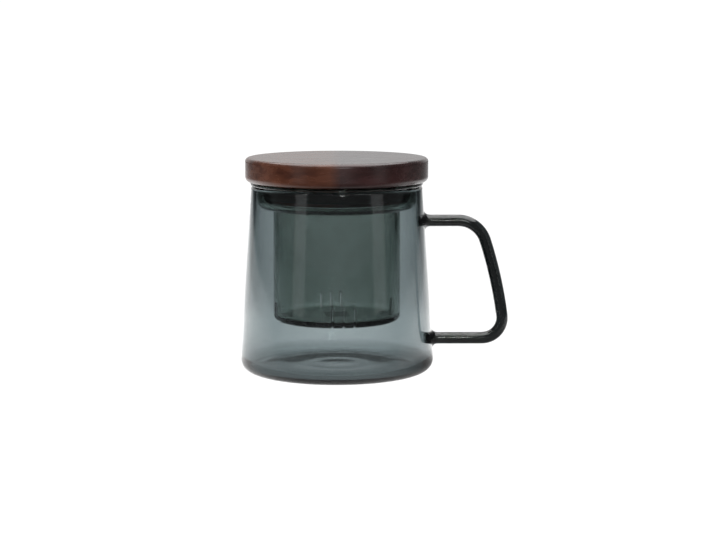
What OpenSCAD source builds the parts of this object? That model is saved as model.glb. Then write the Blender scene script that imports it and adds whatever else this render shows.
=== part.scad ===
// Lidded glass tea mug with a glass infuser and a turned wooden lid.
// The origin is the middle of the mug's foot on the table: +Z is up, and the handle points along +X.

/* [Mug] */
// Height of the mug to the top of its rim
mug_h = 86.9; // [84:0.1:92]
// Outer diameter of the mug at its rim
rim_d = 79.8; // [78:0.2:84]
// Outer diameter that the straight wall would reach at the table
base_d = 91.2; // [88:0.2:96]
// Thickness of the blown glass wall
wall_t = 2.6; // [2.2:0.1:3]
// Thickness of the floor above the foot
floor_t = 3; // [2.6:0.1:4]
// Radius of the round heel between wall and foot
heel_r = 5.6; // [4.5:0.1:7]
// Diameter of the shallow push-up under the mug
push_up_d = 70; // [50:1:72]
// Depth of the push-up at its middle
push_up_h = 1.1; // [0.5:0.1:1.4]

/* [Handle] */
// Diameter of the glass rod
rod_d = 5.5; // [4.5:0.1:6.5]
// Height of the upper arm above the table
arm_top_z = 70.3; // [68:0.1:74]
// Height of the lower arm above the table
arm_low_z = 14.7; // [13:0.1:17]
// Distance from the mug's axis to the end of the upper arm's straight
arm_reach = 56.6; // [54:0.1:60]
// Radius of the upper bend at the middle of the rod
bend_top_r = 13.5; // [11:0.5:16]
// Radius of the lower bend at the middle of the rod
bend_low_r = 9.5; // [8:0.5:11]
// Lean of the leg where it leaves the upper bend, from upright
lean_top = 18; // [16:1:20]
// Lean of the leg where it meets the lower bend, from upright
lean_low = 8; // [6:1:10]
// Radius of the fillet where the rod is melted onto the wall
weld_r = 2.4; // [1:0.1:2.8]

/* [Infuser] */
// Outer diameter of the tube
tube_d = 59.4; // [54:0.2:62]
// Thickness of the infuser's glass
tube_t = 2.2; // [1.8:0.1:2.4]
// Height of the infuser's underside above the table
tube_z = 23.8; // [18:0.1:30]
// Thickness of the infuser's floor
tube_floor_t = 2.6; // [2:0.1:3.2]
// Outer radius of the tube's lower corner
tube_corner_r = 3; // [2.5:0.1:3.5]
// Distance from the mug's rim down to the underside of the shoulder
shoulder_drop = 10.5; // [10.3:0.1:13]
// Outer radius of the collar's lower corner
collar_corner_r = 4; // [3:0.1:4.5]
// Thickness of the lip that hangs on the rim
lip_t = 1.6; // [1.2:0.1:2]
// Overhang of the lip past the rim
lip_over = 0.3; // [0:0.1:0.6]
// Turn of the infuser in the mug, seen from above
infuser_turn = 6.3; // [0:0.1:45]

/* [Slits] */
// Width of a sawn slit
slit_w = 0.9; // [0.7:0.05:1.1]
// Distance between neighbouring slits
slit_pitch = 5; // [4:0.1:6]
// Rise of a side slit up the wall, and its run in over the floor
slit_rise = 9.5; // [8:0.1:11]
// Radius of the saw blade that cuts across the corner
blade_r = 12; // [10:0.5:20]
// Length of the short slits across the middle of the floor
drain_len = 11; // [8:0.5:14]

/* [Lid] */
// Thickness of the wooden disc
disc_t = 11.3; // [9:0.1:14]
// Diameter of the wooden disc
lid_d = 85.2; // [84:0.2:90]
// Radius of the disc's upper edge
lid_edge_r = 1.8; // [1:0.1:2.5]
// Radius of the disc's lower edge
lid_low_r = 2.6; // [1.5:0.1:3.5]
// Length of the plug below the disc
plug_len = 9.2; // [8.6:0.1:9.4]
// Width of the groove that holds the seal
groove_w = 5.4; // [4.6:0.1:5.6]
// Depth of the groove
groove_depth = 1.8; // [1.4:0.1:2.2]

/* [Hidden] */
$fn = 96;

// Pieces that lie on each other are this far apart.
seat_gap = 0.1;
// A piece that hangs or slides inside another has this much room all round.
slip_gap = 0.3;
// Cutting shapes reach this far past what they cut.
over = 1;

// Mug: the wall is a straight cone, and its two faces are parallel.
rim_r = rim_d / 2;
base_r = base_d / 2;
wall_lean = atan((base_r - rim_r) / mug_h);
heel_in_r = heel_r - 1.2;
push_up_r = push_up_d / 2;

// Infuser: the collar hangs inside the rim.
mug_mouth_r = cone_r(mug_h - wall_t / 2) - wall_t / cos(wall_lean);
collar_r = mug_mouth_r - slip_gap;
collar_in_r = collar_r - tube_t;
tube_r = tube_d / 2;
tube_in_r = tube_r - tube_t;
lip_r = rim_r + lip_over;
lip_z = mug_h + seat_gap;
shoulder_z = mug_h - shoulder_drop;
tube_floor_z = tube_z + tube_floor_t;
neck_fillet_r = 0.8;
floor_fillet_r = 1.4;
lip_edge_r = lip_t / 2;

// Lid: the disc lies on the lip, and the plug hangs in the collar.
disc_z = lip_z + lip_t + seat_gap;
overall_h = disc_z + disc_t;
disc_r = lid_d / 2;
plug_r = collar_in_r - 1.4;
plug_z = disc_z - plug_len;
plug_edge_r = 1.2;
groove_r = plug_r - groove_depth;
groove_z = plug_z + 1.9;
seal_lip_r = collar_in_r - slip_gap;
seal_body_r = plug_r + 0.3;

// Handle: three arcs, each tangent to the next, in a plane through the mug's axis.
rod_r = rod_d / 2;
// The bow's radius follows from the heights of the two arms and the leans of the leg's ends.
leg_rise = arm_top_z - arm_low_z - bend_top_r * (1 - sin(lean_top)) - bend_low_r * (1 + sin(lean_low));
leg_bow_r = round(1000 * leg_rise / (sin(lean_top) - sin(lean_low))) / 1000;
top_centre = [arm_reach, arm_top_z - bend_top_r];
bow_centre = top_centre + (bend_top_r - leg_bow_r) * [cos(lean_top), sin(lean_top)];
low_centre = bow_centre + (leg_bow_r - bend_low_r) * [cos(lean_low), sin(lean_low)];

// Radius of the mug's outer wall at height z.
function cone_r(z) = base_r - z * tan(wall_lean);

// Points of an arc from angle a to angle b.
function arc(centre, r, a, b, steps = 8) =
    [for (i = [0:steps]) let (t = a + (b - a) * i / steps) centre + r * [cos(t), sin(t)]];

// Centre of a circle of radius r that rolls inside the outer wall, inset from it by depth, at height z.
function wall_centre(z, r, depth = 0) = [cone_r(z) - (r + depth) / cos(wall_lean), z];

// Underside of the mug from its axis to the foot, a shallow dish.
function push_up_points(steps = 6) =
    [for (i = [0:steps]) [push_up_r * i / steps, push_up_h * (1 - pow(i / steps, 2))]];

module mug_body() {
    color([0.36, 0.42, 0.43, 0.55])
        rotate_extrude()
            polygon(concat(
                push_up_points(),
                arc(wall_centre(heel_r, heel_r), heel_r, -90, wall_lean),
                arc(wall_centre(mug_h - wall_t / 2, wall_t / 2), wall_t / 2, wall_lean, 180 + wall_lean, 12),
                arc(wall_centre(floor_t + heel_in_r, heel_in_r, wall_t), heel_in_r, wall_lean, -90),
                [[0, floor_t]]
            ));
}

// Solid of the mug's outer cone, which trims the ends of the handle.
module outer_cone() {
    cylinder(r1 = base_r, r2 = cone_r(mug_h), h = mug_h);
}

// One arm of the handle: it runs up from the origin into the wall, with the melted fillet at its root.
module arm(length) {
    end = length + over;
    fillet_centre = [rod_r + weld_r, length - weld_r];
    rotate_extrude()
        polygon(concat(
            [[0, 0], [rod_r, 0]],
            arc(fillet_centre, weld_r, 180, 90, 6),
            [[rod_r + weld_r, end], [0, end]]
        ));
}

// Puts its children at the end of a bend of radius r and angle a, heading on along +Y.
module at_end(r, a) {
    move(r * [cos(a) - 1, sin(a), 0])
        rotate([0, 0, a])
            children();
}

// Moves its children by d: by whole hundredths first, then by the small rest.
module move(d) {
    hundredths = [for (c = d) round(c * 100) / 100];
    translate(hundredths)
        translate(d - hundredths)
            children();
}

// A bend of the rod: it leaves the origin along +Y and turns left by angle a round a centre at -X.
// It is a whole ring, cut off at both ends, and its children follow on where it ends.
module bend(r, a) {
    reach = r + rod_d;
    difference() {
        translate([-r, 0, 0])
            rotate([0, 0, 180])
                rotate_extrude()
                    translate([r, 0])
                        circle(r = rod_r);
        translate([-reach - r, -reach, -rod_d])
            cube([2 * reach, reach, 2 * rod_d]);
        at_end(r, a)
            translate([-reach - r, 0, -rod_d])
                cube([2 * reach, reach, 2 * rod_d]);
    }
    at_end(r, a)
        children();
}

// The rod runs out from the lower weld, round the lower bend, up the bowed leg and back to the upper weld.
module mug_handle() {
    color([0.12, 0.14, 0.15])
        difference() {
            translate([low_centre[0], 0, arm_low_z])
                rotate([90, 0, 0])
                    rotate([0, 0, -90]) {
                        rotate([90, 0, 0])
                            arm(low_centre[0] - cone_r(arm_low_z));
                        bend(bend_low_r, 90 + lean_low)
                            bend(leg_bow_r, lean_top - lean_low)
                                bend(bend_top_r, 90 - lean_top)
                                    rotate([-90, 0, 0])
                                        arm(arm_reach - cone_r(arm_top_z));
                    }
            outer_cone();
        }
}

// Outline of the infuser from the axis: tube, shoulder, collar and lip, then back down the inside.
function infuser_points() = concat(
    [[0, tube_z]],
    arc([tube_r - tube_corner_r, tube_z + tube_corner_r], tube_corner_r, -90, 0),
    arc([tube_r + neck_fillet_r, shoulder_z - neck_fillet_r], neck_fillet_r, 180, 90, 4),
    arc([collar_r - collar_corner_r, shoulder_z + collar_corner_r], collar_corner_r, -90, 0),
    [[collar_r, lip_z]],
    arc([lip_r - lip_edge_r, lip_z + lip_edge_r], lip_edge_r, -90, 90),
    arc([collar_in_r + lip_edge_r, lip_z + lip_edge_r], lip_edge_r, 90, 180, 4),
    arc([collar_r - collar_corner_r, shoulder_z + collar_corner_r], collar_corner_r - tube_t, 0, -90, 6),
    arc([tube_r + neck_fillet_r, shoulder_z - neck_fillet_r], neck_fillet_r + tube_t, 90, 180, 6),
    arc([tube_in_r - floor_fillet_r, tube_floor_z + floor_fillet_r], floor_fillet_r, 0, -90, 4),
    [[0, tube_floor_z]]
);

// Three side slits: the blade cuts across the corner of tube and floor at 45 degrees, on the +X side.
module side_slits() {
    blade_drop = sqrt(pow(blade_r, 2) - pow(slit_rise, 2) / 2) * cos(45);
    for (i = [-1:1])
        translate([tube_r - slit_rise / 2 + blade_drop, i * slit_pitch, tube_z + slit_rise / 2 - blade_drop])
            rotate([90, 0, 0])
                cylinder(r = blade_r, h = slit_w, center = true);
}

// Three short slits across the middle of the floor.
module drain_slits() {
    for (i = [-1:1])
        translate([-drain_len / 2, i * slit_pitch - slit_w / 2, tube_z - over])
            cube([drain_len, slit_w, tube_floor_t + 2 * over]);
}

module infuser() {
    color([0.30, 0.36, 0.36, 0.55])
        rotate([0, 0, infuser_turn])
            difference() {
                rotate_extrude()
                    polygon(infuser_points());
                for (side = [0:3])
                    rotate([0, 0, 90 * side])
                        side_slits();
                drain_slits();
            }
}

module lid() {
    color([0.30, 0.17, 0.12])
        rotate_extrude()
            polygon(concat(
                [[0, plug_z]],
                arc([plug_r - plug_edge_r, plug_z + plug_edge_r], plug_edge_r, -90, 0, 4),
                [
                    [plug_r, groove_z],
                    [groove_r, groove_z],
                    [groove_r, groove_z + groove_w],
                    [plug_r, groove_z + groove_w],
                    [plug_r, disc_z]
                ],
                arc([disc_r - lid_low_r, disc_z + lid_low_r], lid_low_r, -90, 0),
                arc([disc_r - lid_edge_r, overall_h - lid_edge_r], lid_edge_r, 0, 90),
                [[0, overall_h]]
            ));
}

// Silicone ring in the groove, with two soft lips that lean on the collar's glass.
module lid_seal() {
    lip_h = groove_w / 3;
    lip_points = [[seal_body_r, 0.2], [seal_lip_r, 0.75], [seal_lip_r, 0.95], [seal_body_r, 1.2]];
    color([0.07, 0.07, 0.07])
        rotate_extrude()
            polygon(concat(
                [[groove_r, groove_z], [seal_body_r, groove_z]],
                [for (i = [0:1], p = lip_points) [p[0], groove_z + lip_h * (0.15 + i * 1.35 + p[1])]],
                [[seal_body_r, groove_z + groove_w], [groove_r, groove_z + groove_w]]
            ));
}

mug_body();
mug_handle();
infuser();
lid();
lid_seal();
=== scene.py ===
import math

import bpy
from mathutils import Matrix


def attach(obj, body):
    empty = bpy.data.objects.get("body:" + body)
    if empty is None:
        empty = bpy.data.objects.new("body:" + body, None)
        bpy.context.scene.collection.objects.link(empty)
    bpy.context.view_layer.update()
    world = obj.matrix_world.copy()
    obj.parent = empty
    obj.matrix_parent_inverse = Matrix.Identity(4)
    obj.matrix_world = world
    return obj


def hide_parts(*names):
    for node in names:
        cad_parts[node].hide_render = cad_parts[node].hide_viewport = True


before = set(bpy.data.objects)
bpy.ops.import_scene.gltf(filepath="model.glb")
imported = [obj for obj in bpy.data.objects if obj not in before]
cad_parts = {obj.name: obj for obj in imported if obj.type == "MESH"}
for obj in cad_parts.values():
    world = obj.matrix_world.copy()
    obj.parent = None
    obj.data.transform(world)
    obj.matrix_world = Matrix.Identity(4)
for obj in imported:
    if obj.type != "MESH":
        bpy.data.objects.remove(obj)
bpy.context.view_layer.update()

# ---------------------------------------------------------------------------------------------
# The photographer's camera: a long lens about 0.9 m in front of the mug, a little above its lid
# and tilted down, so that the lid's top shows as a thin ellipse.
# ---------------------------------------------------------------------------------------------
lens_in_pixels = 1922
picture_width = 716
film_width = 36
camera_place = (0, -0.893, 0.169)
camera_dip = 7.78
camera_turn = -0.635
glass_bounces = 32
mirror_bounces = 12
camera_data = bpy.data.cameras.new("camera")
camera_data.sensor_width = film_width
camera_data.lens = film_width * lens_in_pixels / picture_width
camera_data.clip_start = 0.01
camera = bpy.data.objects.new("camera", camera_data)
camera.location = camera_place
camera.rotation_euler = (math.radians(90 - camera_dip), 0, math.radians(camera_turn))
bpy.context.scene.collection.objects.link(camera)
bpy.context.scene.camera = camera
bpy.context.scene.view_settings.view_transform = "Standard"
bpy.context.scene.cycles.max_bounces = glass_bounces
bpy.context.scene.cycles.transmission_bounces = glass_bounces
bpy.context.scene.cycles.glossy_bounces = mirror_bounces

# ---------------------------------------------------------------------------------------------
# The studio: a table, plain white to the camera, that runs back without an edge to a lit backdrop,
# dim at the sides and in front. The table itself is dark, and its glow is painted light: a pool,
# brightest behind the mug, with a painted shadow under the handle. A box hangs overhead, one in
# front and one at each side light the wood, and a small box and two upright strips in front show
# in the glass.
# ---------------------------------------------------------------------------------------------
backdrop_dim = (0.20, 0.20, 0.205, 1)
backdrop_white = (1, 1, 1, 1)
dim_up_to = 0.80
white_from = 0.985
backdrop_strength = 0.85
seen_white = 1.05
room = bpy.data.worlds.new("studio")
bpy.context.scene.world = room
room.use_nodes = True
room_nodes = room.node_tree.nodes
room_links = room.node_tree.links
room_nodes.clear()
room_out = room_nodes.new("ShaderNodeOutputWorld")
room_light = room_nodes.new("ShaderNodeBackground")
room_way = room_nodes.new("ShaderNodeTexCoord")
room_axes = room_nodes.new("ShaderNodeSeparateXYZ")
room_links.new(room_way.outputs["Generated"], room_axes.inputs[0])
# From dim in front and at the sides to white behind the mug.
room_ramp = room_nodes.new("ShaderNodeValToRGB")
room_ramp.color_ramp.interpolation = "EASE"
room_ramp.color_ramp.elements[0].position = dim_up_to
room_ramp.color_ramp.elements[0].color = backdrop_dim
room_ramp.color_ramp.elements[1].position = white_from
room_ramp.color_ramp.elements[1].color = backdrop_white
room_map = room_nodes.new("ShaderNodeMapRange")
room_map.inputs["From Min"].default_value = -1
room_links.new(room_axes.outputs["Y"], room_map.inputs["Value"])
room_links.new(room_map.outputs[0], room_ramp.inputs[0])
room_links.new(room_ramp.outputs[0], room_light.inputs["Color"])
room_light.inputs["Strength"].default_value = backdrop_strength
# What the camera sees of the room directly is plain white from every side.
room_white = room_nodes.new("ShaderNodeBackground")
room_white.inputs["Color"].default_value = backdrop_white
room_white.inputs["Strength"].default_value = seen_white
room_seen = room_nodes.new("ShaderNodeLightPath")
room_mix = room_nodes.new("ShaderNodeMixShader")
room_links.new(room_seen.outputs["Is Camera Ray"], room_mix.inputs[0])
room_links.new(room_light.outputs[0], room_mix.inputs[1])
room_links.new(room_white.outputs[0], room_mix.inputs[2])
room_links.new(room_mix.outputs[0], room_out.inputs["Surface"])


def soft_box(name, place, aim, width, height, brightness):
    # A soft box aimed at a point, whose face looks as bright as brightness says, where 1 is white.
    box_data = bpy.data.lights.new(name, "AREA")
    box_data.shape = "RECTANGLE"
    box_data.size = width
    box_data.size_y = height
    box_data.energy = brightness * width * height * math.pi
    box = bpy.data.objects.new(name, box_data)
    box.location = place
    way = [a - p for a, p in zip(aim, place)]
    flat = math.hypot(way[0], way[1])
    tilt = math.pi / 2 + math.atan2(way[2], flat)
    turn = math.atan2(way[1], way[0]) - math.pi / 2
    box.rotation_euler = (tilt, 0, turn)
    bpy.context.scene.collection.objects.link(box)
    return box


lid_side = (0, 0, 0.09)
mug_middle = (0, 0, 0.06)
handle_side = (0.05, 0, 0.06)
# The overhead box shines in the lid and the glass, and lights nothing matt.
overhead_box = soft_box("overhead_box", place=(0, 0.03, 0.95), aim=(0, 0.031, 0),
                        width=1.5, height=1.5, brightness=4.5)
overhead_box.visible_diffuse = False
# The key box and the two fills light what is matt, and don't show in the glass or the gloss.
wood_boxes = [soft_box("key_box", place=(-0.25, -1.0, 0.5), aim=lid_side,
                       width=0.7, height=0.4, brightness=6.6)]
for name, side in (("left_fill", -1), ("right_fill", 1)):
    wood_boxes.append(soft_box(name, place=(side * 1.1, 0.05, 0.5), aim=lid_side,
                               width=0.6, height=0.4, brightness=4))
for box in wood_boxes:
    box.visible_glossy = False
    box.visible_transmission = False
# The small front box gives the glass its sharp highlights, and the strips its soft pale bands.
front_box = soft_box("front_box", place=(0.17, -1.25, 0.33), aim=handle_side,
                     width=0.25, height=0.14, brightness=20)
front_box.visible_diffuse = False
soft_box("left_strip", place=(-0.39, -0.37, 0.22), aim=mug_middle, width=0.16, height=0.44, brightness=0.6)
soft_box("right_strip", place=(0.43, -0.32, 0.22), aim=mug_middle, width=0.17, height=0.44, brightness=0.55)

table_radius = 6
table_gap = 0.00005
bpy.ops.mesh.primitive_circle_add(vertices=128, radius=table_radius, fill_type="NGON",
                                  location=(0, 0, -table_gap))
table = bpy.context.object
table.name = "table"
table_white = bpy.data.materials.new("table_white")
table_white.use_nodes = True
table_nodes = table_white.node_tree.nodes
table_links = table_white.node_tree.links
table_shader = table_nodes["Principled BSDF"]
table_shader.inputs["Base Color"].default_value = (0.04, 0.04, 0.04, 1)
table_shader.inputs["Roughness"].default_value = 0.7
table_shader.inputs["Specular IOR Level"].default_value = 0.0
table_place = table_nodes.new("ShaderNodeTexCoord")
table_axes = table_nodes.new("ShaderNodeSeparateXYZ")
table_links.new(table_place.outputs["Object"], table_axes.inputs[0])
# The table's glow is painted light, a pool as it shows in the glass: brightest close behind the mug,
# and falling off in front and to both sides. Each pair is a place along the axis and the glow's strength
# there.
glow_front_to_back = (
    (-0.3, 0.17), (-0.1, 0.28), (-0.05, 0.8), (-0.015, 1.05), (0.02, 1.35), (0.06, 1.6),
    (0.12, 1.75), (0.22, 1.35), (0.35, 1.2), (0.6, 1.28), (0.9, 1.25))
glow_left_to_right = (
    (-0.9, 0.02), (-0.75, 0.08), (-0.6, 0.5), (-0.4, 0.7), (-0.22, 1.1), (-0.1, 1.0),
    (0.1, 1.0), (0.22, 1.0), (0.4, 0.5), (0.6, 0.35), (0.75, 0.08), (0.9, 0.02))
full_glow = 2


def glow_along(axis, points):
    # The glow along one axis, as a share of full_glow, because a curve goes only from 0 to 1.
    first = points[0][0]
    last = points[-1][0]
    inward = table_nodes.new("ShaderNodeMapRange")
    inward.inputs["From Min"].default_value = first
    inward.inputs["From Max"].default_value = last
    table_links.new(table_axes.outputs[axis], inward.inputs["Value"])
    bend = table_nodes.new("ShaderNodeFloatCurve")
    curve = bend.mapping.curves[0]
    for place, glow in points[1:-1]:
        curve.points.new((place - first) / (last - first), glow / full_glow)
    curve.points[0].location = (0, points[0][1] / full_glow)
    curve.points[len(curve.points) - 1].location = (1, points[-1][1] / full_glow)
    bend.mapping.update()
    table_links.new(inward.outputs[0], bend.inputs["Value"])
    return bend.outputs[0]


glow_back = glow_along("Y", glow_front_to_back)
glow_side = glow_along("X", glow_left_to_right)
# A painted shadow of the handle dims the glow round the place under the handle.
shadow_place = (0.07, 0, 0)
shadow_core = 0.015
shadow_edge = 0.07
shadow_glow = 0.3
handle_gap = table_nodes.new("ShaderNodeVectorMath")
handle_gap.operation = "DISTANCE"
handle_gap.inputs[1].default_value = shadow_place
table_links.new(table_place.outputs["Object"], handle_gap.inputs[0])
painted_handle_shadow = table_nodes.new("ShaderNodeMapRange")
painted_handle_shadow.interpolation_type = "SMOOTHSTEP"
painted_handle_shadow.inputs["From Min"].default_value = shadow_core
painted_handle_shadow.inputs["From Max"].default_value = shadow_edge
painted_handle_shadow.inputs["To Min"].default_value = shadow_glow
table_links.new(handle_gap.outputs["Value"], painted_handle_shadow.inputs["Value"])
table_shade = table_nodes.new("ShaderNodeMath")
table_shade.operation = "MULTIPLY"
table_links.new(glow_side, table_shade.inputs[0])
table_links.new(painted_handle_shadow.outputs[0], table_shade.inputs[1])
table_glow = table_nodes.new("ShaderNodeMath")
table_glow.operation = "MULTIPLY"
table_links.new(glow_back, table_glow.inputs[0])
table_links.new(table_shade.outputs[0], table_glow.inputs[1])
# Both curves are shares of full_glow. Of the glow, only a part lights what is matt.
matt_share = 0.2
table_seen = table_nodes.new("ShaderNodeLightPath")
table_matt = table_nodes.new("ShaderNodeMapRange")
table_matt.inputs["To Min"].default_value = full_glow ** 2
table_matt.inputs["To Max"].default_value = full_glow ** 2 * matt_share
table_gain = table_nodes.new("ShaderNodeMath")
table_gain.operation = "MULTIPLY"
table_links.new(table_seen.outputs["Is Diffuse Ray"], table_matt.inputs["Value"])
table_links.new(table_matt.outputs[0], table_gain.inputs[1])
table_links.new(table_glow.outputs[0], table_gain.inputs[0])
# The camera sees the table as plain white.
table_look = table_nodes.new("ShaderNodeMix")
table_look.inputs["B"].default_value = seen_white
table_links.new(table_seen.outputs["Is Camera Ray"], table_look.inputs["Factor"])
table_links.new(table_gain.outputs[0], table_look.inputs["A"])
# The emission is painted light: the glow's pool, with the handle's painted shadow in it.
table_shader.inputs["Emission Color"].default_value = (1, 1, 1, 1)
table_links.new(table_look.outputs["Result"], table_shader.inputs["Emission Strength"])
table.data.materials.append(table_white)

# ---------------------------------------------------------------------------------------------
# Mug body: one blown glass cup that narrows upwards in a straight cone, with a round heel, a
# shallow push-up under the foot and a fire-polished rim. Clear smoke-grey borosilicate glass.
# ---------------------------------------------------------------------------------------------
mug_height = 0.0869
rim_radius = 0.0399
foot_radius = 0.0456
wall = 0.0026
floor_thickness = 0.003
heel_radius = 0.0056
inner_heel_radius = 0.0044
push_up_radius = 0.035
push_up_height = 0.0011
push_up_steps = 16
ripple_height = 0.0001
ripple_waves = 2.25
ripple_steps = 48
wall_lean = math.atan((foot_radius - rim_radius) / mug_height)
merge_gap = 0.000002


def rounding(centre, radius, start, end, steps):
    # Points of an arc, from the angle start to the angle end, in degrees.
    return [
        (centre[0] + radius * math.cos(math.radians(start + (end - start) * i / steps)),
         centre[1] + radius * math.sin(math.radians(start + (end - start) * i / steps)))
        for i in range(steps + 1)
    ]


def straight(first, last, near=0.0004):
    # Points along a straight stretch: one close to each end, and one halfway.
    length = math.dist(first, last)
    share = min(near / length, 0.3)
    return [
        tuple(a + (b - a) * s for a, b in zip(first, last))
        for s in (share, 0.5, 1 - share)
    ]


def turned(name, outline, steps=256):
    # Draws the outline in the XZ plane and spins it round the mug's axis into a closed piece.
    bpy.ops.object.select_all(action="DESELECT")
    bpy.ops.mesh.primitive_plane_add(size=0.001, location=(0, 0, 0))
    piece = bpy.context.object
    piece.name = name
    piece.data.name = name
    bpy.ops.object.mode_set(mode="EDIT")
    bpy.ops.mesh.select_all(action="SELECT")
    bpy.ops.mesh.merge(type="CENTER")
    bpy.ops.transform.translate(value=(outline[0][0], 0, outline[0][1]))
    for before, after in zip(outline, outline[1:]):
        bpy.ops.mesh.extrude_region_move(
            TRANSFORM_OT_translate={"value": (after[0] - before[0], 0, after[1] - before[1])})
    bpy.ops.mesh.select_all(action="SELECT")
    bpy.ops.mesh.spin(steps=steps, angle=2 * math.pi, center=(0, 0, 0), axis=(0, 0, 1))
    bpy.ops.mesh.select_all(action="SELECT")
    bpy.ops.mesh.remove_doubles(threshold=merge_gap)
    bpy.ops.mesh.normals_make_consistent(inside=False)
    bpy.ops.object.mode_set(mode="OBJECT")
    bpy.ops.object.shade_smooth()
    return piece


def wall_centre(height, radius, depth=0.0):
    # Centre of a rounding that touches the mug's wall from inside, set in from it by depth.
    at_height = foot_radius - height * math.tan(wall_lean)
    return at_height - (radius + depth) / math.cos(wall_lean), height


lean = math.degrees(wall_lean)
foot = []
for i in range(push_up_steps + 1):
    outward = i / push_up_steps
    foot.append((push_up_radius * outward, push_up_height * (1 - outward ** 2)))
heel = rounding(wall_centre(heel_radius, heel_radius), heel_radius, -90, lean, steps=24)
rim = rounding(wall_centre(mug_height - wall / 2, wall / 2), wall / 2, lean, 180 + lean, steps=24)
inner_heel = rounding(wall_centre(floor_thickness + inner_heel_radius, inner_heel_radius, wall),
                      inner_heel_radius, lean, -90, steps=20)
# The floor inside has the low rings that blowing into a mould leaves.
inner_floor = []
for i in range(1, ripple_steps + 1):
    inward = i / ripple_steps
    ripple = math.sin(2 * math.pi * ripple_waves * inward) * math.sin(math.pi * inward)
    inner_floor.append((inner_heel[-1][0] * (1 - inward), floor_thickness - ripple_height * ripple))
mug = turned("mug_glass_body",
             foot + straight(foot[-1], heel[0]) + heel + straight(heel[-1], rim[0]) + rim
             + straight(rim[-1], inner_heel[0]) + inner_heel + inner_floor)

# The surface that blowing gives all the glass here: faint waves, and a haze that comes and goes.
glass_surface = bpy.data.node_groups.new("blown_glass_surface", "ShaderNodeTree")
for name, way, kind in (("Place", "INPUT", "NodeSocketVector"),
                        ("Wave Scale", "INPUT", "NodeSocketVector"),
                        ("Least Haze", "INPUT", "NodeSocketFloat"),
                        ("Most Haze", "INPUT", "NodeSocketFloat"),
                        ("Wave", "OUTPUT", "NodeSocketFloat"),
                        ("Haze", "OUTPUT", "NodeSocketFloat")):
    glass_surface.interface.new_socket(name=name, in_out=way, socket_type=kind)
surface_nodes = glass_surface.nodes
surface_links = glass_surface.links
surface_in = surface_nodes.new("NodeGroupInput")
surface_out = surface_nodes.new("NodeGroupOutput")
wave_stretch = surface_nodes.new("ShaderNodeMapping")
wave = surface_nodes.new("ShaderNodeTexNoise")
wave.inputs["Scale"].default_value = 1
wave.inputs["Detail"].default_value = 1.5
haze = surface_nodes.new("ShaderNodeTexNoise")
haze.inputs["Scale"].default_value = 60
haze_range = surface_nodes.new("ShaderNodeMapRange")
surface_links.new(surface_in.outputs["Place"], wave_stretch.inputs["Vector"])
surface_links.new(surface_in.outputs["Wave Scale"], wave_stretch.inputs["Scale"])
surface_links.new(wave_stretch.outputs[0], wave.inputs["Vector"])
surface_links.new(wave.outputs["Fac"], surface_out.inputs["Wave"])
surface_links.new(surface_in.outputs["Place"], haze.inputs["Vector"])
surface_links.new(surface_in.outputs["Least Haze"], haze_range.inputs["To Min"])
surface_links.new(surface_in.outputs["Most Haze"], haze_range.inputs["To Max"])
surface_links.new(haze.outputs["Fac"], haze_range.inputs["Value"])
surface_links.new(haze_range.outputs[0], surface_out.inputs["Haze"])
glass_bend = 1.473


def smoke_glass(name, density, tint, wave_height=0.00002, wave_scale=(22, 22, 7), haze_span=(0.0, 0.02)):
    # Clear smoke-grey glass, whose colour deepens with the thickness that light passes through.
    material = bpy.data.materials.new(name)
    material.use_nodes = True
    nodes = material.node_tree.nodes
    links = material.node_tree.links
    shader = nodes["Principled BSDF"]
    shader.inputs["Base Color"].default_value = (1, 1, 1, 1)
    shader.inputs["IOR"].default_value = glass_bend
    shader.inputs["Transmission Weight"].default_value = 1
    place = nodes.new("ShaderNodeTexCoord")
    surface = nodes.new("ShaderNodeGroup")
    surface.node_tree = glass_surface
    surface.inputs["Wave Scale"].default_value = wave_scale
    surface.inputs["Least Haze"].default_value = haze_span[0]
    surface.inputs["Most Haze"].default_value = haze_span[1]
    bump = nodes.new("ShaderNodeBump")
    bump.inputs["Strength"].default_value = 1
    bump.inputs["Distance"].default_value = wave_height
    links.new(place.outputs["Object"], surface.inputs["Place"])
    links.new(surface.outputs["Wave"], bump.inputs["Height"])
    links.new(bump.outputs[0], shader.inputs["Normal"])
    links.new(surface.outputs["Haze"], shader.inputs["Roughness"])
    depth = nodes.new("ShaderNodeVolumeAbsorption")
    depth.inputs["Color"].default_value = (*tint, 1)
    depth.inputs["Density"].default_value = density
    links.new(depth.outputs[0], nodes["Material Output"].inputs["Volume"])
    return material


mug.data.materials.append(smoke_glass("mug_smoke_glass", density=327, tint=(0.0, 0.107, 0.128)))
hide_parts("mug_body")
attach(mug, "mug")

# ---------------------------------------------------------------------------------------------
# Handle: one solid glass rod, bent hot to an ear and melted onto the wall at both ends, where
# the glass flares out a little. The rod is a deeper grey than the thin wall.
# ---------------------------------------------------------------------------------------------
rod_radius = 0.00275
rod_sides = 48
top_arm_height = 0.0703
low_arm_height = 0.0147
top_arm_reach = 0.0566
top_arm_rings = (0.1, 0.4, 0.4, 0.1)
low_arm_rings = (0.05, 0.45, 0.45, 0.05)
top_bend_radius = 0.0135
low_bend_radius = 0.0095
bend_steps = 28
bow_steps = 20
top_lean = math.radians(18)
low_lean = math.radians(8)
flare = 0.0024
flare_steps = 10
weld_sink = 0.0002
weld_zone = 0.008
melt_depth = 0.0003
bow_radius = (
    (top_arm_height - low_arm_height - top_bend_radius * (1 - math.sin(top_lean))
     - low_bend_radius * (1 + math.sin(low_lean))) / (math.sin(top_lean) - math.sin(low_lean)))
top_centre = (top_arm_reach, top_arm_height - top_bend_radius)
bow_centre = (top_centre[0] + (top_bend_radius - bow_radius) * math.cos(top_lean),
              top_centre[1] + (top_bend_radius - bow_radius) * math.sin(top_lean))
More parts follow.
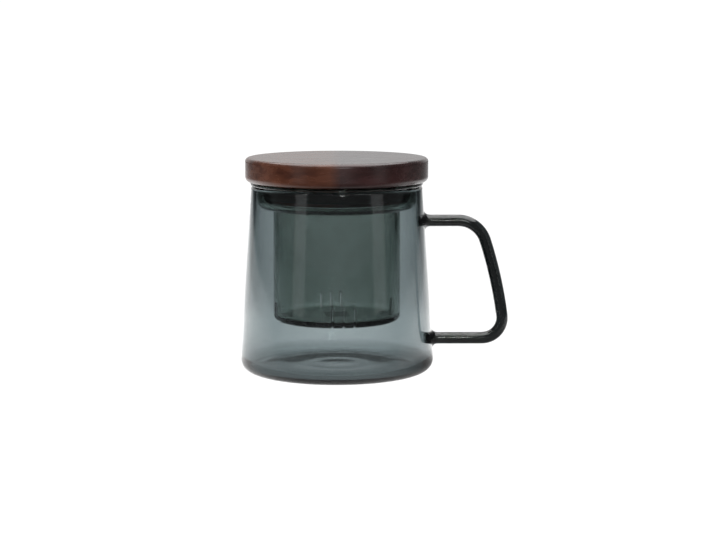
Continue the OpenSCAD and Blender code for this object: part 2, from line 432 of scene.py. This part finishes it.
low_centre = (bow_centre[0] + (bow_radius - low_bend_radius) * math.cos(low_lean),
              bow_centre[1] + (bow_radius - low_bend_radius) * math.sin(low_lean))


def wall_radius(height):
    # Outer radius of the mug's wall at a height.
    return foot_radius - height * math.tan(wall_lean)


# The rod's round section starts as a disc inside the wall at the upper weld, facing along +X.
bpy.ops.object.select_all(action="DESELECT")
weld_x = wall_radius(top_arm_height)
bpy.ops.mesh.primitive_circle_add(vertices=rod_sides, radius=rod_radius + flare, fill_type="NGON",
                                  location=(weld_x - weld_sink, 0, top_arm_height),
                                  rotation=(0, math.pi / 2, 0))
rod = bpy.context.object
rod.name = "handle_glass_rod"
rod.data.name = "handle_glass_rod"
bpy.ops.object.transform_apply(location=True, rotation=True, scale=True)
bpy.ops.object.mode_set(mode="EDIT")
bpy.ops.mesh.select_all(action="SELECT")


def draw_rod(length):
    # Draws the rod's end out along X.
    bpy.ops.mesh.extrude_region_move(TRANSFORM_OT_translate={"value": (length, 0, 0)})


def draw_flare(places, shares, height, at_x, size):
    # Draws the rod's end from at_x to each place in turn, and widens or narrows it there to its
    # share of the flare.
    for place, share in zip(places, shares):
        draw_rod(place - at_x)
        at_x = place
        new_size = rod_radius + flare * share
        growth = new_size / size
        bpy.ops.transform.resize(value=(1, growth, growth), center_override=(at_x, 0, height))
        size = new_size


def bend_rod(steps, angle, centre):
    # Bends the rod on round a centre in the XZ plane.
    bpy.ops.mesh.spin(steps=steps, angle=angle, center=(centre[0], 0, centre[1]), axis=(0, -1, 0))


# The flare is a hollow quarter circle, wide at the wall.
flare_angles = [math.radians(90 * i / flare_steps) for i in range(flare_steps + 1)]
flare_out = [flare * (1 - math.cos(angle)) for angle in flare_angles]
flare_share = [1 - math.sin(angle) for angle in flare_angles]
draw_flare([weld_x + out for out in flare_out], flare_share, top_arm_height,
           at_x=weld_x - weld_sink, size=rod_radius + flare)
arm_length = top_arm_reach - weld_x - flare
for share in top_arm_rings:
    draw_rod(arm_length * share)
bend_rod(bend_steps, math.pi / 2 - top_lean, top_centre)
bend_rod(bow_steps, top_lean - low_lean, bow_centre)
bend_rod(bend_steps, math.pi / 2 + low_lean, low_centre)
weld_x = wall_radius(low_arm_height)
arm_length = low_centre[0] - weld_x - flare
for share in low_arm_rings:
    draw_rod(-arm_length * share)
draw_flare([weld_x + out for out in flare_out[-2::-1]] + [weld_x - weld_sink],
           flare_share[-2::-1] + [1], low_arm_height, at_x=weld_x + flare, size=rod_radius)
bpy.ops.object.mode_set(mode="OBJECT")
# Each ring near the wall is laid onto the cone, and the two end discs sink a hair into the glass.
for vertex in rod.data.vertices:
    for height in (top_arm_height, low_arm_height):
        flat = wall_radius(height)
        in_flare = vertex.co.x < flat + flare + weld_sink / 2
        if in_flare and abs(vertex.co.z - height) < weld_zone:
            on_wall = math.sqrt(max(wall_radius(vertex.co.z) ** 2 - vertex.co.y ** 2, 0))
            if vertex.co.x < flat - weld_sink / 2:
                vertex.co.x = on_wall - melt_depth
            else:
                away = (vertex.co.x - flat) / flare
                vertex.co.x += (on_wall - flat) * (1 - away)
bpy.ops.object.mode_set(mode="EDIT")
bpy.ops.mesh.select_all(action="SELECT")
bpy.ops.mesh.remove_doubles(threshold=merge_gap)
bpy.ops.mesh.normals_make_consistent(inside=False)
bpy.ops.object.mode_set(mode="OBJECT")
bpy.ops.object.shade_smooth_by_angle(angle=math.radians(40))
rod.data.materials.append(smoke_glass("rod_smoke_glass", density=1000, tint=(0.0, 0.04, 0.05),
                                      wave_height=0.000003))
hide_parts("mug_handle")
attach(rod, "mug")

# ---------------------------------------------------------------------------------------------
# Infuser: one piece of smoke-grey glass, a tube with a closed floor, a shoulder, a wider collar
# and a lip that hangs on the rim. Its slits are sawn across the lower corner with a thin disc.
# ---------------------------------------------------------------------------------------------
tube_radius = 0.0297
tube_wall = 0.0022
tube_bottom = 0.0238
tube_floor = 0.0026
tube_corner = 0.003
shoulder_height = 0.0764
collar_corner = 0.004
lip_thickness = 0.0016
lip_overhang = 0.0003
neck_rounding = 0.0008
floor_rounding = 0.0014
seat_gap = 0.0001
slip_gap = 0.0003
infuser_turn = 6.3
infuser_density = 225
infuser_tint = (0.0, 0.137, 0.055)
sawn_colour = (0.12, 0.14, 0.135, 1)
slit_width = 0.0009
slit_pitch = 0.005
slit_rise = 0.0095
slit_lean = math.radians(45)
blade_radius = 0.012
blade_spare = 0.001
drain_length = 0.011
mouth_radius = wall_centre(mug_height - wall / 2, 0)[0] - wall / math.cos(wall_lean)
collar_radius = mouth_radius - slip_gap
collar_bore = collar_radius - tube_wall
lip_radius = rim_radius + lip_overhang
lip_bottom = mug_height + seat_gap
lip_top = lip_bottom + lip_thickness
lip_rounding = lip_thickness / 2
tube_floor_top = tube_bottom + tube_floor
tube_bore = tube_radius - tube_wall

corner = rounding((tube_radius - tube_corner, tube_bottom + tube_corner), tube_corner, -90, 0, steps=20)
neck_centre = (tube_radius + neck_rounding, shoulder_height - neck_rounding)
neck = rounding(neck_centre, neck_rounding, 180, 90, steps=8)
collar_centre = (collar_radius - collar_corner, shoulder_height + collar_corner)
collar = rounding(collar_centre, collar_corner, -90, 0, steps=20)
# Where the collar meets the underside of the lip, which hangs on the rim.
hang = (collar_radius, lip_bottom)
lip_edge = rounding((lip_radius - lip_rounding, lip_bottom + lip_rounding), lip_rounding, -90, 90, steps=16)
lip_inner = rounding((collar_bore + lip_rounding, lip_bottom + lip_rounding), lip_rounding, 90, 180, steps=10)
collar_inner = rounding(collar_centre, collar_corner - tube_wall, 0, -90, steps=12)
neck_inner = rounding(neck_centre, neck_rounding + tube_wall, 90, 180, steps=12)
floor_corner = rounding((tube_bore - floor_rounding, tube_floor_top + floor_rounding),
                        floor_rounding, 0, -90, steps=10)
infuser_outline = (
    [(0, tube_bottom)] + straight((0, tube_bottom), corner[0]) + corner
    + straight(corner[-1], neck[0]) + neck + straight(neck[-1], collar[0]) + collar
    + straight(collar[-1], hang) + [hang] + straight(hang, lip_edge[0], near=0.0002) + lip_edge
    + straight(lip_edge[-1], lip_inner[0], near=0.0002) + lip_inner
    + straight(lip_inner[-1], collar_inner[0]) + collar_inner
    + straight(collar_inner[-1], neck_inner[0], near=0.0002) + neck_inner
    + straight(neck_inner[-1], floor_corner[0]) + floor_corner
    + straight(floor_corner[-1], (0, tube_floor_top)) + [(0, tube_floor_top)])
infuser = turned("infuser_glass", infuser_outline)
infuser.data.materials.append(smoke_glass("infuser_smoke_glass", infuser_density, infuser_tint,
                                          wave_height=0.000015, wave_scale=(30, 30, 8)))
# The saw leaves its own faces ground matt, and they are given a darker colour than the clear glass.
sawn_glass = smoke_glass("infuser_sawn_glass", infuser_density, infuser_tint,
                         wave_height=0.00001, wave_scale=(900, 900, 900), haze_span=(0.35, 0.5))
sawn_glass.node_tree.nodes["Principled BSDF"].inputs["Base Color"].default_value = sawn_colour

# The disc that saws a slit. Its edge meets the wall slit_rise above the tube's lower corner, and
# the floor as far in from it.
blade_drop = math.sqrt(blade_radius ** 2 - slit_rise ** 2 / 2) * math.cos(slit_lean)
bpy.ops.object.select_all(action="DESELECT")
bpy.ops.mesh.primitive_cylinder_add(
    vertices=96, radius=blade_radius, depth=slit_width,
    location=(tube_radius - slit_rise / 2 + blade_drop, 0, tube_bottom + slit_rise / 2 - blade_drop),
    rotation=(math.pi / 2, 0, 0))
disc = bpy.context.object
# The short flat blade that cuts a slit in the floor.
bpy.ops.mesh.primitive_cube_add(size=1, location=(0, 0, tube_bottom + tube_floor / 2),
                                scale=(drain_length, slit_width, tube_floor + 2 * blade_spare))
drain_blade = bpy.context.object
disc.select_set(True)
bpy.ops.object.transform_apply(location=True, rotation=True, scale=True)
cuts = []


def set_blade(blade, aside, turn):
    # A copy of the blade, moved aside by some slits and turned about the mug's axis, in degrees.
    cut = blade.copy()
    cut.data = blade.data.copy()
    cut.data.transform(Matrix.Translation((0, aside * slit_pitch, 0)))
    cut.data.transform(Matrix.Rotation(math.radians(turn), 4, "Z"))
    cut.data.materials.append(sawn_glass)
    bpy.context.scene.collection.objects.link(cut)
    cuts.append(cut)


# Three slits at each of four sides, and three across the floor.
for side in range(4):
    for aside in (-1, 0, 1):
        set_blade(disc, aside, 90 * side + infuser_turn)
for aside in (-1, 0, 1):
    set_blade(drain_blade, aside, infuser_turn)
bpy.data.objects.remove(disc)
bpy.data.objects.remove(drain_blade)
bpy.ops.object.select_all(action="DESELECT")
for cut in cuts:
    cut.select_set(True)
bpy.context.view_layer.objects.active = cuts[0]
bpy.ops.object.join()
bpy.context.view_layer.objects.active = infuser
saw = infuser.modifiers.new("saw_cuts", "BOOLEAN")
saw.operation = "DIFFERENCE"
saw.solver = "EXACT"
saw.material_mode = "TRANSFER"
saw.object = cuts[0]
bpy.ops.object.modifier_apply(modifier="saw_cuts")
bpy.data.objects.remove(cuts[0])
bpy.ops.object.select_all(action="DESELECT")
infuser.select_set(True)
bpy.ops.object.shade_smooth_by_angle(angle=math.radians(38))
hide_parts("infuser")
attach(infuser, "infuser")

# ---------------------------------------------------------------------------------------------
# Lid: a thick disc of dark brown wood, turned in one piece with its plug from a blank of two
# boards. Its top edge is rounded, its lower edge rounded more, and it has a satin oil finish.
# ---------------------------------------------------------------------------------------------
lid_radius = 0.0426
disc_bottom = lip_top + seat_gap
lid_top = 0.1
top_rounding = 0.0018
lower_rounding = 0.0026
plug_play = 0.0014
plug_depth = 0.0092
plug_radius = collar_bore - plug_play
plug_bottom = disc_bottom - plug_depth
plug_rounding = 0.0012
groove_width = 0.0054
groove_depth = 0.0018
groove_rise = 0.0019
groove_radius = plug_radius - groove_depth
groove_bottom = plug_bottom + groove_rise
wood_chamfer = 0.00012
long_side = 0.0009
wood_steps = 192
plug_edge = rounding((plug_radius - plug_rounding, plug_bottom + plug_rounding),
                     plug_rounding, -90, 0, steps=10)
lower_edge = rounding((lid_radius - lower_rounding, disc_bottom + lower_rounding),
                      lower_rounding, -90, 0, steps=16)
disc_edge = rounding((lid_radius - top_rounding, lid_top - top_rounding), top_rounding, 0, 90, steps=16)


def crisp(points, chamfer):
    # A broken line whose corners stay crisp: each corner is softened by a very small chamfer.
    line = [points[0]]
    for before, here, after in zip(points, points[1:], points[2:]):
        for other in (before, after):
            share = min(chamfer / math.dist(here, other), 0.4)
            line.append(tuple(h + (o - h) * share for h, o in zip(here, other)))
    return line + [points[-1]]


lid_lines = crisp((
    plug_edge[-1], (plug_radius, groove_bottom), (groove_radius, groove_bottom),
    (groove_radius, groove_bottom + groove_width), (plug_radius, groove_bottom + groove_width),
    (plug_radius, disc_bottom), lower_edge[0]), wood_chamfer)
lid_outline = [(0, plug_bottom)] + straight((0, plug_bottom), plug_edge[0]) + plug_edge
for before, after in zip(lid_lines, lid_lines[1:]):
    if math.dist(before, after) > long_side:
        lid_outline += straight(before, after, near=0.0001)
    lid_outline.append(after)
lid_outline += lower_edge[1:] + straight(lower_edge[-1], disc_edge[0]) + disc_edge
lid_outline += straight(disc_edge[-1], (0, lid_top)) + [(0, lid_top)]
lid = turned("lid_wood", lid_outline, wood_steps)

# Each board's colours, in its dark and its light grain. The left board is the redder and lighter one: partly
# the boards' own colour, partly painted light on the left side and painted shade on the right.
left_board_and_painted_light = ((0.049, 0.0125, 0.006, 1), (0.172, 0.058, 0.029, 1))
right_board_and_painted_shade = ((0.018, 0.0055, 0.0050, 1), (0.063, 0.022, 0.021, 1))
grain_scale = (45, 260, 330)
patch_scale = (50, 40, 130)
grain_share = 0.55
patch_share = 0.45
dark_up_to = 0.30
light_from = 0.72
joint_start = -0.003
joint_end = 0.002
pore_depth = 0.000025
lid_wood = bpy.data.materials.new("lid_dark_wood")
lid_wood.use_nodes = True
wood_nodes = lid_wood.node_tree.nodes
wood_links = lid_wood.node_tree.links
wood_shader = wood_nodes["Principled BSDF"]
wood_place = wood_nodes.new("ShaderNodeTexCoord")


def wood_noise(scale, detail, distortion=0.0):
    # Noise of the wood, with its own scale across the lid, from front to back and upwards.
    fibres = wood_nodes.new("ShaderNodeMapping")
    fibres.inputs["Scale"].default_value = scale
    grain = wood_nodes.new("ShaderNodeTexNoise")
    grain.inputs["Scale"].default_value = 1
    grain.inputs["Detail"].default_value = detail
    grain.inputs["Distortion"].default_value = distortion
    wood_links.new(wood_place.outputs["Object"], fibres.inputs[0])
    wood_links.new(fibres.outputs[0], grain.inputs["Vector"])
    return grain.outputs["Fac"]


# The grain runs across the lid from side to side, over broader patches of dark and light.
wood_grain = wood_noise(grain_scale, detail=5, distortion=0.3)
wood_patches = wood_noise(patch_scale, detail=2)
wood_share = wood_nodes.new("ShaderNodeMath")
wood_share.operation = "MULTIPLY"
wood_share.inputs[1].default_value = patch_share
wood_tone = wood_nodes.new("ShaderNodeMath")
wood_tone.operation = "MULTIPLY_ADD"
wood_tone.inputs[1].default_value = grain_share
wood_links.new(wood_patches, wood_share.inputs[0])
wood_links.new(wood_grain, wood_tone.inputs[0])
wood_links.new(wood_share.outputs[0], wood_tone.inputs[2])
# The joint between the boards runs from front to back, close to the middle, and there the painted light on
# the left gives way to the painted shade on the right.
wood_axes = wood_nodes.new("ShaderNodeSeparateXYZ")
wood_joint = wood_nodes.new("ShaderNodeMapRange")
wood_joint.inputs["From Min"].default_value = joint_start
wood_joint.inputs["From Max"].default_value = joint_end
wood_links.new(wood_place.outputs["Object"], wood_axes.inputs[0])
wood_links.new(wood_axes.outputs["X"], wood_joint.inputs["Value"])
# In a Mix node for colours, the two colours are inputs 6 and 7 and the result is output 2.
wood_mix = wood_nodes.new("ShaderNodeMix")
wood_mix.data_type = "RGBA"
for (dark, light), socket in ((left_board_and_painted_light, 6), (right_board_and_painted_shade, 7)):
    board = wood_nodes.new("ShaderNodeValToRGB")
    board.color_ramp.elements[0].position = dark_up_to
    board.color_ramp.elements[0].color = dark
    board.color_ramp.elements[1].position = light_from
    board.color_ramp.elements[1].color = light
    wood_links.new(wood_tone.outputs[0], board.inputs[0])
    wood_links.new(board.outputs[0], wood_mix.inputs[socket])
wood_links.new(wood_joint.outputs[0], wood_mix.inputs[0])
wood_links.new(wood_mix.outputs[2], wood_shader.inputs["Base Color"])
# The oiled surface is a little less glossy in the light grain, and its pores are felt.
wood_gloss = wood_nodes.new("ShaderNodeMapRange")
wood_gloss.inputs["To Min"].default_value = 0.2
wood_gloss.inputs["To Max"].default_value = 0.34
wood_links.new(wood_grain, wood_gloss.inputs["Value"])
wood_links.new(wood_gloss.outputs[0], wood_shader.inputs["Roughness"])
wood_bump = wood_nodes.new("ShaderNodeBump")
wood_bump.inputs["Strength"].default_value = 1
wood_bump.inputs["Distance"].default_value = pore_depth
wood_links.new(wood_grain, wood_bump.inputs["Height"])
wood_links.new(wood_bump.outputs[0], wood_shader.inputs["Normal"])
lid.data.materials.append(lid_wood)
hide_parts("lid")
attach(lid, "lid")

# ---------------------------------------------------------------------------------------------
# Seal: a soft dark silicone ring, stretched into the plug's groove. Two thin lips on it lean on
# the collar and hold the lid by friction.
# ---------------------------------------------------------------------------------------------
seal_proud = 0.0003
seal_body = plug_radius + seal_proud
seal_lip = collar_bore - slip_gap
seal_chamfer = 0.00008
# Heights of the lips, in thirds of the groove's width: where each lip starts, and its own shape.
lip_pitch = groove_width / 3
lip_starts = (0.15, 1.5)
lip_shape = ((seal_body, 0.2), (seal_lip, 0.75), (seal_lip, 0.95), (seal_body, 1.2))
seal_points = [(groove_radius, groove_bottom), (seal_body, groove_bottom)]
for lip_start in lip_starts:
    for radius, rise in lip_shape:
        seal_points.append((radius, groove_bottom + lip_pitch * (lip_start + rise)))
seal_points += [(seal_body, groove_bottom + groove_width), (groove_radius, groove_bottom + groove_width),
                (groove_radius, groove_bottom)]
seal = turned("seal_ring", crisp(seal_points, seal_chamfer), wood_steps)
seal_rubber = bpy.data.materials.new("seal_dark_silicone")
seal_rubber.use_nodes = True
seal_nodes = seal_rubber.node_tree.nodes
seal_links = seal_rubber.node_tree.links
seal_shader = seal_nodes["Principled BSDF"]
seal_shader.inputs["Base Color"].default_value = (0.012, 0.012, 0.012, 1)
seal_place = seal_nodes.new("ShaderNodeTexCoord")
# A fine speckle, as silicone has from its mould, in its gloss and its skin.
seal_speckle = seal_nodes.new("ShaderNodeTexNoise")
seal_speckle.inputs["Scale"].default_value = 900
seal_speckle.inputs["Detail"].default_value = 3
seal_links.new(seal_place.outputs["Object"], seal_speckle.inputs["Vector"])
seal_matt = seal_nodes.new("ShaderNodeMapRange")
seal_matt.inputs["To Min"].default_value = 0.38
seal_matt.inputs["To Max"].default_value = 0.60
seal_links.new(seal_speckle.outputs["Fac"], seal_matt.inputs["Value"])
seal_links.new(seal_matt.outputs[0], seal_shader.inputs["Roughness"])
seal_skin = seal_nodes.new("ShaderNodeBump")
seal_skin.inputs["Strength"].default_value = 1
seal_skin.inputs["Distance"].default_value = 0.00001
seal_links.new(seal_speckle.outputs["Fac"], seal_skin.inputs["Height"])
seal_links.new(seal_skin.outputs[0], seal_shader.inputs["Normal"])
seal.data.materials.append(seal_rubber)
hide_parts("lid_seal")
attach(seal, "lid")
